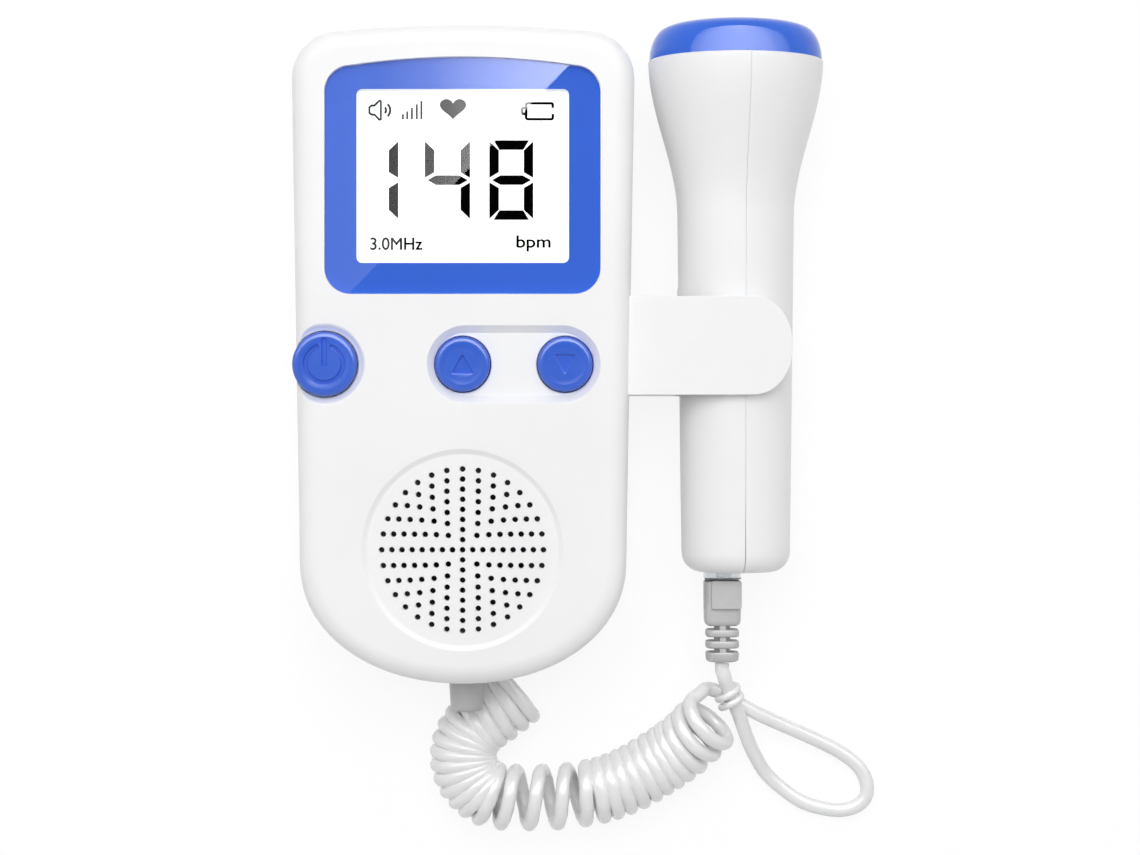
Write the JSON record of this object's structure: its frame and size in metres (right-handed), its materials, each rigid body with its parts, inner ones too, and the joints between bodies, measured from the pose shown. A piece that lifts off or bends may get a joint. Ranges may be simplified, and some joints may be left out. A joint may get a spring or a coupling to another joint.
{
  "type": "fetal doppler monitor",
  "caption": "Pocket fetal doppler monitor with display, keys, loudspeaker and a probe on a curly cord, clipped in a holder at its side.",
  "frame": {"origin": "on the table surface, under the middle of the case, strain relief and probe taken together", "axes": "+X from the case towards the probe, +Y towards the display end, +Z out of the display"},
  "size_m": [0.1227, 0.172, 0.0369],
  "materials": {
    "white_case": "satin moulded ABS",
    "white_inner": "moulded ABS",
    "blue_keys": "satin moulded ABS",
    "blue_film": "printed film",
    "clear_lens": "polished acrylic",
    "lcd": "LCD behind polarizer",
    "grey_pvc": "soft PVC",
    "white_cord": "smooth PVC",
    "clear_plug": "clear polycarbonate",
    "black_plastic": "moulded nylon",
    "board": "solder mask",
    "cell_label": "printed sleeve",
    "plated_steel": "nickel plate"
  },
  "bodies": {
    "unit": {"front_cover": "white_case", "back_cover": "white_case", "probe_holder": "white_case", "display_lens": "clear_lens", "display_mask": "blue_film", "lcd_glass": "lcd", "lcd_frame": "white_inner", "main_board": "board", "power_switch": "black_plastic", "up_switch": "black_plastic", "down_switch": "black_plastic", "speaker_frame": "black_plastic", "speaker_cone": "grey_pvc", "speaker_magnet": "plated_steel", "battery_tray": "white_inner", "battery_left": "cell_label", "battery_right": "cell_label", "contact_left_positive": "plated_steel", "contact_left_negative": "plated_steel", "contact_right_positive": "plated_steel", "contact_right_negative": "plated_steel", "spring_left": "plated_steel", "spring_right": "plated_steel", "headphone_socket": "black_plastic", "case_screw_1": "plated_steel", "case_screw_2": "plated_steel", "case_screw_3": "plated_steel", "case_screw_4": "plated_steel", "cord_relief": "grey_pvc", "cord_tail": "white_cord", "cord_curls": "white_cord"},
    "power_key": {"power_key": "blue_keys"},
    "up_key": {"up_key": "blue_keys"},
    "down_key": {"down_key": "blue_keys"},
    "battery_door": {"battery_door": "white_case"},
    "lead": {"plug_body": "clear_plug", "plug_boot": "grey_pvc", "cord_lead": "white_cord", "cord_tie": "white_cord"},
    "plug_latch": {"plug_latch": "clear_plug"},
    "probe": {"probe_shell_left": "white_case", "probe_shell_right": "white_case", "transducer_cap": "blue_keys", "crystal_disc": "plated_steel", "backing_block": "black_plastic", "probe_board": "board", "modular_jack": "black_plastic"}
  },
  "joints": [
    {"name": "power_key_press", "type": "slide", "parent": "unit", "child": "power_key", "axis": [0, 0, -1], "range_m": [0, 0.0008], "stiffness_N_per_m": 600, "springref_m": -0.0005},
    {"name": "up_key_press", "type": "slide", "parent": "unit", "child": "up_key", "axis": [0, 0, -1], "range_m": [0, 0.0008], "stiffness_N_per_m": 600, "springref_m": -0.0005},
    {"name": "down_key_press", "type": "slide", "parent": "unit", "child": "down_key", "axis": [0, 0, -1], "range_m": [0, 0.0008], "stiffness_N_per_m": 600, "springref_m": -0.0005},
    {"name": "battery_door_slide", "type": "slide", "parent": "unit", "child": "battery_door", "axis": [0, 1, 0], "range_m": [0, 0.01]},
    {"name": "probe_out_of_holder", "type": "slide", "parent": "unit", "child": "lead", "axis": [1, 0, 0], "range_m": [0, 0.03], "deforming": ["cord_curls"]},
    {"name": "probe_off_plug", "type": "slide", "parent": "lead", "child": "probe", "axis": [0, 1, 0], "range_m": [0, 0.012]},
    {"name": "plug_latch_press", "type": "hinge", "parent": "lead", "child": "plug_latch", "pos_m": [0.034, -0.0349, 0.0202], "axis": [1, 0, 0], "range_deg": [0, 5], "stiffness_Nm_per_rad": 0.01}
  ]
}
